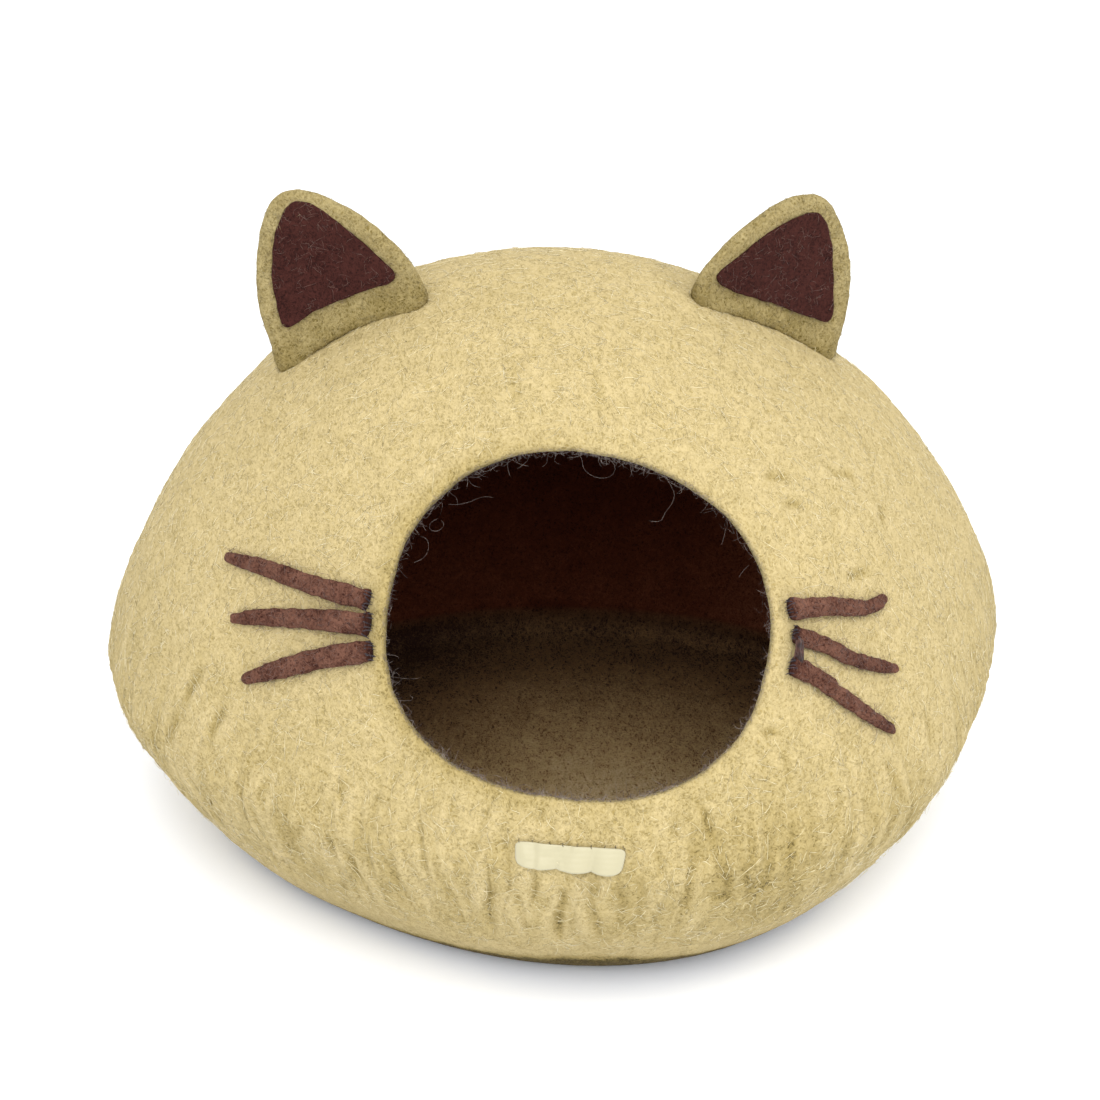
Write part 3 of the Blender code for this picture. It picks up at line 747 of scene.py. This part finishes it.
def spread_out(grid, out, allowed, count, dice):
    """Random places on the allowed part of a grid of points, even over its area, with their normals."""
    across = np.roll(grid, -1, axis=1) - grid
    down = np.gradient(grid, axis=0)
    weight = (np.linalg.norm(np.cross(across, down), axis=-1) * allowed).ravel()
    chosen = dice.choice(weight.size, count, p=weight / weight.sum())
    jitter = dice.uniform(-0.5, 0.5, (2, count, 1))
    roots, across, down, root_normals = (
        field.reshape(-1, 3)[chosen] for field in (grid, across, down, out))
    return roots + across * jitter[0] + down * jitter[1], root_normals


def headings(normals, dice):
    """Random directions along the skin."""
    return unit(np.cross(normals, unit(dice.normal(0, 1, normals.shape))))


def fuzz_on(grid, count, dice):
    """Short curled hairs on a closed grid of points."""
    out = grid_normals(grid, grid.mean(axis=(0, 1)))
    roots, root_normals = spread_out(grid[2:-2], out[2:-2], 1, count, dice)
    lengths = dice.uniform(*FUZZ_LENGTHS, count)
    heads = headings(root_normals, dice)
    return hair_paths(roots, heads, root_normals, lengths, dice, curl=0.6, lift=0.12, rise=0.12)


# Palest strands of the cream wool: fine light curls that break up the felt's plain colour
pale_hair = hair_material("loose hairs of cream wool", "#BDAF85", "#D5CAA6")
free = (felt_skin[..., 2] > HAIRS_OFF_FLOOR) & (from_edge > HAIRS_OFF_LIP)
for number in range(2):
    dice = np.random.default_rng(100 + number)
    roots, hair_normals = spread_out(felt_skin, normals, free, HAIRS_A_PIECE, dice)
    heads = headings(hair_normals, dice)
    lengths = dice.uniform(*HAIR_LENGTHS, HAIRS_A_PIECE)
    paths = hair_paths(roots - hair_normals * 0.00005, heads, hair_normals, lengths, dice,
                       curl=0.6, lift=0.02, rise=0.0)
    standing = dice.random(HAIRS_A_PIECE) < STANDING_SHARE
    paths[standing] = hair_paths(roots, heads, hair_normals, lengths * 0.35, dice,
                                 curl=0.5, lift=0.2, rise=0.45)[standing]
    thickness = np.where(standing, STANDING_THICKNESS, STRAND_THICKNESS)
    hair_piece("cave_loose_hairs_%d" % (number + 1), paths, thickness, pale_hair)

# The fuzz of the cut edge: fine curls of both wools that stick out into the mouth and, mixed, look
# grey against the dark inside
rim_hair = hair_material("grey fuzz of the mouth's edge", "#584C49", "#8E827A")
dice = np.random.default_rng(55)
place = dice.integers(0, SIDES, RIM_HAIRS)
deep = dice.uniform(*RIM_HAIR_DEPTHS, RIM_HAIRS)[:, None]
roots = skin[0][place] + inward[place] * deep
towards = unit(MOUTH_CENTRE - skin[0])[place]
along = unit(np.roll(skin[0], -1, axis=0) - np.roll(skin[0], 1, axis=0))[place]
heads = towards * dice.uniform(0.1, 0.9, (RIM_HAIRS, 1)) + along * dice.normal(0, 0.8, (RIM_HAIRS, 1))
heads = unit(heads + inward[place] * dice.normal(0, 0.4, (RIM_HAIRS, 1)))
lengths = np.minimum(0.0010 + 0.0014 * dice.exponential(1, RIM_HAIRS), RIM_HAIR_LONGEST)
paths = hair_paths(roots, heads, unit(np.cross(heads, along)), lengths, dice,
                   curl=0.7, lift=0.3, rise=0.1, steps=6)
hair_piece("mouth_fuzz", paths, FUZZ_THICKNESS, rim_hair)

# Longer stray hairs that hang into the mouth: points across and up from its centre, in mm
STRAY_HAIRS = (
    ((-3, 79), (-0.5, 75), (0.4, 70.6), (3.1, 67.4), (7.5, 65.6), (12.3, 66.5), (14.5, 70.2),
     (13.2, 73.9), (8.8, 77)),
    ((35.5, 70.5), (37.9, 67), (40.8, 61), (40.1, 56), (37.3, 51.1), (35.5, 46.8), (32.6, 45.9),
     (30, 46.2)),
    ((21, 76), (21.3, 72), (21.8, 69.5), (22.6, 67.4)),
    ((64, 47), (63.5, 43.5), (62.8, 40.5), (62.2, 38.2)),
    ((74.5, 30.5), (72.6, 28), (71, 25.6), (70.2, 23.6)),
    ((-59.5, 53.5), (-55, 53), (-50, 53.8), (-46, 55.4), (-42, 56.2), (-38.5, 55.4)),
    ((-62, 46), (-60.5, 44), (-61.5, 41.6), (-64.5, 40.8), (-67, 42.6), (-66, 45.4), (-63, 46.8)),
    ((-71, 39), (-67.8, 37.2), (-66.8, 33.6), (-67.6, 30), (-70.4, 27.6), (-73.6, 26.4)),
    ((-31.5, 74.4), (-29, 72.6), (-26, 71.4), (-23.8, 70.8)),
)
paths = []
for places in STRAY_HAIRS:
    flat = smooth_line(places, 17, closed=False) / 1000
    spots = MOUTH_CENTRE + flat[:, :1] * MOUTH_LEVEL + flat[:, 1:] * MOUTH_STEEP
    paths.append(skin_between(spots + MOUTH_OUT * 0.08, spots - MOUTH_OUT * 0.08) - MOUTH_OUT * 0.003)
hair_piece("mouth_stray_hairs", np.array(paths), STRAY_THICKNESS, rim_hair)


# Ears
# Two rounded triangles of the same cream felt, 6 mm thick and soft at the edge, that stand on the
# dome and are felted to it along their curved feet. A dark brown patch is needle-felted on each.

EAR_THICKNESS = 0.0062
EAR_DISH = 0.0035
EAR_DISH_FROM = 0.030
PATCH_THICKNESS = 0.0020
PATCH_GAP = 0.0005
FOOT_SINK = 0.0014
FOOT_BAND = 0.006
FOOT_FLARE = 0.9
FOOT_FLARE_HEIGHT = 0.014
EAR_SWELL = 0.0014
EDGE_RAGGED = 0.0006
EAR_HAIRS = 1900
PATCH_HAIRS = 700
EAR_SIDES = 150
EAR_RINGS = 56
PATCH_RINGS = 40
EARS = (
    # side, ends of the foot (x, y), outline and patch as (along the foot, height over the dome), in mm
    ("left", ((-136, -2), (-70, -15)),
     ((0, 0), (1.5, 15), (5.5, 32), (15.5, 49.5), (29.5, 65.5), (43.5, 71),
      (57, 65), (71, 49.5), (79.5, 31.5), (82.5, 16.5), (78.5, 0), (52, 0),
      (26, 0)),
     ((13, 17.5), (18.5, 38), (30, 55.5), (44, 66), (54.5, 62.5), (62.5, 48),
      (69.5, 31.5), (73, 16.5), (53, 15), (29.5, 16))),
    ("right", ((65, -6), (140, 19)),
     ((-2, 0), (-6.5, 12.5), (-1, 30), (9.5, 47), (22.5, 60.5), (38, 65.5),
      (53, 59), (68, 45.5), (77.5, 28.5), (82, 12), (80.5, 0), (53, 0),
      (26, 0)),
     ((-0.5, 15.5), (7.5, 29), (16.5, 42.5), (29, 55), (38, 59), (49.5, 51.5),
      (61.5, 35), (70.5, 17), (57.5, 12.5), (35.5, 11), (12, 10.5))),
)


def ear_places(foot, flat, depth):
    """Points of an ear from places on it, as (along the foot, height over the dome), and depths to the
    front."""
    ends = np.array([(x, y, 150) for x, y in foot]) / 1000
    start, end = skin_between(ends + (0, 0, 0.2), ends)
    across = unit(end - start)
    front = unit(np.array((across[1], -across[0], 0)))
    up = np.cross(front, across)
    share = flat[..., 0] / np.linalg.norm(end - start)
    dish = EAR_DISH * (1 - (2 * share - 1) ** 2) * np.clip(flat[..., 1] / EAR_DISH_FROM, -9, 1)
    root = start + flat[..., :1] * across + (depth - dish)[..., None] * front
    root = skin_between(root + up * 0.15, root - up * 0.03)
    rise = np.maximum(0, flat[..., 1]) - FOOT_SINK * ramp(flat[..., 1], FOOT_BAND, 0)
    return root + up * rise[..., None]


def panel_rows(outline, thickness, rings, soft_edge, swell):
    """Rows of a panel pressed flat in a ragged outline: places (along, height) and depths, front to back.
    The front swells in a soft band inside the edge."""
    rim = smooth_line(outline, EAR_SIDES, closed=True)[::-1] / 1000
    middle = rim.mean(axis=0)
    to_rim = rim - middle
    away = np.linalg.norm(to_rim, axis=-1)
    ragged = EDGE_RAGGED * lumps(np.column_stack((rim, rim[:, 0] * 0)), 0.0055, 7.1)
    to_rim = to_rim * (1 + ragged / away)[:, None]
    places, depths = [], []
    for row in range(rings + 1):
        from_rim = abs(row - rings / 2)
        bend = math.pi / 2 * min(1, from_rim / soft_edge)
        drawn_in = thickness / 2 * (1 - math.cos(bend)) / np.linalg.norm(to_rim, axis=-1, keepdims=True)
        share = (1 - drawn_in) * min(1, (rings / 2 - from_rim) / (rings / 2 - soft_edge))
        places.append(middle + to_rim * share)
        side = 1 if row < rings / 2 else -1
        band = np.exp(-(((1 - share[:, 0]) * away - 0.006) / 0.004) ** 2)
        depths.append(side * thickness / 2 * math.sin(bend) + swell * band * (side > 0))
    return np.array(places), np.array(depths)


# Ears: the same wool, painted duller and more olive than the wall as shade on these upright panels
ear_felt = felt_material("cream wool felt of the ears", ("#302609", "#574A20", "#7A6B41", "#9E9067"), 0.15)
# Patches: dark red-brown wool in needled tufts, nearly black between them
patch_felt = felt_material("dark brown wool, needle felted", ("#130404", "#1B0807", "#260E0B", "#41221D"),
                           0.10, bump=0.0006)
ear_fuzz, dark_fuzz = [], []
dice = np.random.default_rng(31)
for side, foot, outline, patch_outline in EARS:
    places, depths = panel_rows(outline, EAR_THICKNESS, EAR_RINGS, soft_edge=8, swell=EAR_SWELL)
    flare = ramp(places[..., 1], FOOT_FLARE_HEIGHT, 0) ** 2
    points = ear_places(foot, places, depths * (1 + FOOT_FLARE * flare))
    uneven = 0.0006 * lumps(points, 0.012, 2.2) + (0.0005 + 0.0006 * flare) * lumps(points, 0.0045, 5.2)
    points += uneven[..., None] * (0, -1, 0.3)
    # Painted shade low on the ear where it meets the dome, and random mottle
    ear_painted_shade_and_mottle = 0.9 * ramp(places[..., 1], 0.016, 0) + 0.5 * lumps(points, 0.010, 9.9)
    ear = new_object("ear_felt_" + side, wrapped(points, ear_painted_shade_and_mottle), ear_felt, POD_AXIS)
    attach(ear, "root")
    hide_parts("ear_" + side)
    ear_fuzz.append(fuzz_on(points, EAR_HAIRS, dice))

    places, depths = panel_rows(patch_outline, PATCH_THICKNESS, PATCH_RINGS, soft_edge=6, swell=0)
    points = ear_places(foot, places, depths + EAR_THICKNESS / 2 + PATCH_GAP + PATCH_THICKNESS / 2)
    points += 0.0005 * lumps(points, 0.007, 6.2)[..., None] * (0, -1, 0.3)
    patch = new_object("ear_patch_felt_" + side, wrapped(points), patch_felt, POD_AXIS)
    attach(patch, "root")
    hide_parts("ear_patch_" + side)
    dark_fuzz.append(fuzz_on(points, PATCH_HAIRS, dice))

# Hairs of the ears: olive-cream like their painted-shade felt, they soften its outline
ear_hair = hair_material("loose hairs of the ears", "#7F7146", "#A2956B")
hair_piece("ear_loose_hairs", np.concatenate(ear_fuzz), STANDING_THICKNESS, ear_hair)


# Whiskers
# Rolls of brown felt about 10 mm wide, pressed on the wall beside the mouth, cut blunt at the root
# and drawn thin towards the tip. Navy thread sews each root down.

WHISKER_THICKNESS_SHARE = 0.52
WHISKER_GAP = 0.0004
WHISKER_SIDES = 28
WHISKER_RINGS = 90
WHISKER_HAIRS = 260
THREAD_THICKNESS = 0.0006
JOINING_WOOL = 20
JOINING_THICKNESS = 0.0009
WHISKERS = (
    # side and number, width at the root, points to the tip seen from the front (across, height), in mm
    ("left_1", 9.8, ((-99, 177.5), (-121, 176.5), (-145, 175.5), (-164, 172))),
    ("left_2", 10.4, ((-99, 169), (-121, 165), (-145.5, 158.5), (-162, 152))),
    ("left_3", 10.6, ((-98.5, 160), (-122, 150.5), (-143.5, 139.5), (-158, 131.5))),
    ("right_1", 9.8, ((81.5, 177), (101, 172.5), (122, 165), (133, 163.5))),
    ("right_2", 8.6, ((83, 168.5), (96.5, 161.5), (113, 151), (136, 138.5))),
    ("right_3", 9, ((80, 158.5), (92.5, 151), (108.5, 137), (132, 117.5))),
)
# Share of the length, share of the width at the root
WHISKER_WIDTHS = ((0.0, 0.25, 0.6, 0.85, 1.0), (1.0, 0.94, 0.84, 0.70, 0.46))

# Rolled brown wool: mottled from warm brown to dark at the roots, with painted shade under the rolls
whisker_felt = felt_material("brown wool felt, rolled", ("#120706", "#26110C", "#3E2219", "#6B4A3C"), 0.10)
whisker_roots = []
for name, root_width, places in WHISKERS:
    line = skin_in_front(smooth_line(places, WHISKER_RINGS - 1, closed=False) / 1000)
    line_normals = skin_normals(line)
    line = line + line_normals * skin_relief(line)[0][:, None]
    ahead = unit(np.gradient(line, axis=0))
    sideways = unit(np.cross(line_normals, ahead))
    share = np.linspace(0, 1, WHISKER_RINGS - 1)
    length = np.linalg.norm(np.diff(line, axis=0), axis=-1).sum()
    half_width = root_width / 1000 * np.interp(share, *WHISKER_WIDTHS) / 2
    half_width = half_width * (1 + 0.16 * lumps(line, 0.0055, 4.4) + 0.08 * lumps(line, 0.0025, 8.8))
    root_end = ramp(share * length, 0, 0.0009)
    tip_end = ramp((1 - share) * length, 0, half_width[-1] * 1.2)
    ends = np.sqrt(1 - (1 - root_end) ** 2) * np.sqrt(1 - (1 - tip_end) ** 2)
    turn = -np.arange(WHISKER_SIDES) / WHISKER_SIDES * math.tau
    half_height = half_width * WHISKER_THICKNESS_SHARE
    rise = half_height[:, None] * (1 + ends[:, None] * np.sin(turn)) + WHISKER_GAP
    across = (half_width * ends)[:, None] * np.cos(turn)
    rows = line[:, None] + line_normals[:, None] * rise[..., None] + sideways[:, None] * across[..., None]
    middle = line + line_normals * (half_height + WHISKER_GAP)[:, None]
    uneven = 0.0008 * lumps(rows, 0.005, 9.4) + 0.0006 * lumps(rows, 0.0024, 3.8)
    rows += (uneven * (np.sin(turn) > -0.5))[..., None] * line_normals[:, None]
    # Darker at the root, painted shade on the underside of each roll, and random mottle
    dark = 1.2 * np.exp(-(share * length / 0.0025) ** 2)[:, None] + 0.8 * ramp(np.sin(turn), 0, -1)
    dark = dark + 0.8 * lumps(rows, 0.009, 6.6)
    dark = np.concatenate((dark[:1], dark, dark[-1:]))
    whisker_roots.append((middle[0], ahead[0], sideways[0], line_normals[0], half_width[0]))
    dark_fuzz.append(fuzz_on(rows, WHISKER_HAIRS, dice))
    poles = [np.broadcast_to(middle[k], (1, WHISKER_SIDES, 3)) for k in (0, -1)]
    rows = np.concatenate((poles[0], rows, poles[1]))
    whisker = new_object("whisker_felt_" + name, wrapped(rows, dark), whisker_felt, POD_AXIS)
    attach(whisker, "root")
    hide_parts("whisker_" + name)

# Hairs of the patches and whiskers: a thin brown haze over the dark wool
brown_hair = hair_material("loose hairs of dark wool", "#452B26", "#6E544A")
hair_piece("dark_loose_hairs", np.concatenate(dark_fuzz), STANDING_THICKNESS, brown_hair)

# Navy thread: uneven stitches over each root, almost black against the brown
thread = hair_material("navy sewing thread", "#17111A", "#33242A")
dice = np.random.default_rng(9)
paths = []
for middle, ahead, sideways, normal, half_width in whisker_roots:
    for across in (-0.75, -0.4, -0.1, 0.25, 0.5, 0.8):
        on = middle + ahead * dice.uniform(0.001, 0.003)
        on = on + sideways * half_width * (across + dice.normal(0, 0.08))
        off = middle - ahead * dice.uniform(-0.0002, 0.0006)
        off = off + sideways * half_width * (across + dice.normal(0, 0.12))
        high = half_width * WHISKER_THICKNESS_SHARE * math.sqrt(1 - across ** 2)
        paths.append((
            on + normal * (high - 0.0003), on + normal * (high + 0.0002) - ahead * 0.0005,
            (on + off) / 2 + normal * high * 0.8 - ahead * 0.0006,
            off - normal * high * 0.4, off - normal * high * 1.3))
hair_piece("whisker_stitches", np.array(paths), THREAD_THICKNESS, thread)

# Strands of dark wool run from the middle root on the right to the lowest one and join them
joining_wool = hair_material("dark brown wool that joins two roots", "#22110F", "#46291F")
paths = []
upper, lower = whisker_roots[4], whisker_roots[5]
for _ in range(JOINING_WOOL):
    start = upper[0] + upper[1] * dice.uniform(0.0003, 0.005) + upper[3] * 0.001
    end = lower[0] + lower[1] * dice.uniform(0.0003, 0.005) + lower[3] * 0.001
    t = np.linspace(0, 1, 5)[:, None]
    path = start * (1 - t) + end * t + upper[3] * 0.0006 * np.sin(t * math.pi)
    paths.append(path + dice.normal(0, 0.0003, (5, 3)))
hair_piece("whisker_joining", np.array(paths), JOINING_THICKNESS, joining_wool)


# Label
# A small bare tag of cream satin ribbon, sewn to the wall under the mouth along its top; its lower
# edge stands off the felt in three soft waves.

LABEL_TOP = ((-0.0415, 0.0995), (0.0050, 0.0985))
LABEL_FOOT = ((-0.0415, 0.0898), (0.0025, 0.0880))
LABEL_THICKNESS = 0.0006
LABEL_GAP = 0.0008
LABEL_WAVE = 0.0024
LABEL_CUSPS = (0, 0.38, 0.71, 1)
LABEL_SCALLOP = 0.0009
LABEL_CORNERS = (0.05, 0.12)
LABEL_STEPS = (60, 14)
LABEL_STITCHES = (0.03, 0.16, 0.30, 0.43, 0.55, 0.68, 0.80, 0.90, 0.97)
LABEL_THREAD = 0.0004


def between(ends, share):
    """Points on the line between two ends, by the share of its length."""
    return np.array(ends[0]) * (1 - share) + np.array(ends[1]) * share


def satin_material(name, colour):
    """Woven satin ribbon: fine threads across it and a soft gloss."""
    material, add = new_material(name)
    place = add("TexCoord")["Object"]
    threads = add("TexWave", {
        "bands_direction": "Z", "Scale": 1000 / 0.35 / 20, "Distortion": 0.6}, {"Vector": place})
    relief = add("Bump", {"Strength": 0.4, "Distance": 0.0001}, {"Height": threads["Fac"]})
    shader = add("BsdfPrincipled", {
        "Base Color": linear(colour), "Roughness": 0.42, "Sheen Weight": 0.2,
    }, {"Normal": relief["Normal"]})
    add("OutputMaterial", {}, {"Surface": shader[0]})
    return material


bm = bmesh.new()
bmesh.ops.create_grid(bm, x_segments=LABEL_STEPS[0], y_segments=LABEL_STEPS[1], size=1)
bm.verts.ensure_lookup_table()
spots = np.array([corner.co for corner in bm.verts])
# Its corners are rounded, and its lower edge hangs in three scallops
across = spots[:, :1] * (1 - LABEL_CORNERS[0] * spots[:, 1:2] ** 6)
up = spots[:, 1:2] * (1 - LABEL_CORNERS[1] * spots[:, :1] ** 16)
along, down = (across + 1) / 2, (1 - up) / 2
wave = np.abs(np.sin(math.pi * np.interp(along, LABEL_CUSPS, (0, 1, 2, 3)))) ** 0.8
top = between(LABEL_TOP, along)
foot = between(LABEL_FOOT, along) - wave * (0, LABEL_SCALLOP)
on_skin = skin_in_front(top * (1 - down) + foot * down)
stand = LABEL_GAP + np.maximum(skin_relief(on_skin)[0], 0)[:, None]
stand = stand + LABEL_WAVE * wave * (0.25 + 0.75 * down)
for corner, spot in zip(bm.verts, on_skin + skin_normals(on_skin) * stand):
    corner.co = spot
# Satin: the palest and only shiny thing on the bed, with the lines of its threads across it
satin = satin_material("cream satin ribbon, woven", "#9F987A")
label = new_object("label_satin", bm, satin, POD_AXIS)
cloth = label.modifiers.new("ribbon", "SOLIDIFY")
cloth.thickness = LABEL_THICKNESS
cloth.offset = 0
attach(label, "root")
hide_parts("label")

# Its stitches: short dull threads from the felt over the label's top edge
paths = []
for along in LABEL_STITCHES:
    spot = between(LABEL_TOP, along)
    rises = np.array((1, 0.5, 0, -0.5, -1)) * dice.uniform(0.0008, 0.0014)
    ends = skin_in_front([spot + (dice.normal(0, 0.0003), rise) for rise in rises])
    lift = np.maximum(skin_relief(ends)[0], 0) + (-0.0002, 0.0006, 0.0014, 0.0014, 0.0010)
    paths.append(ends + skin_normals(ends) * lift[:, None])
label_thread = hair_material("olive sewing thread", "#3A3220", "#5C5236")
hair_piece("label_stitches", np.array(paths), LABEL_THREAD, label_thread)
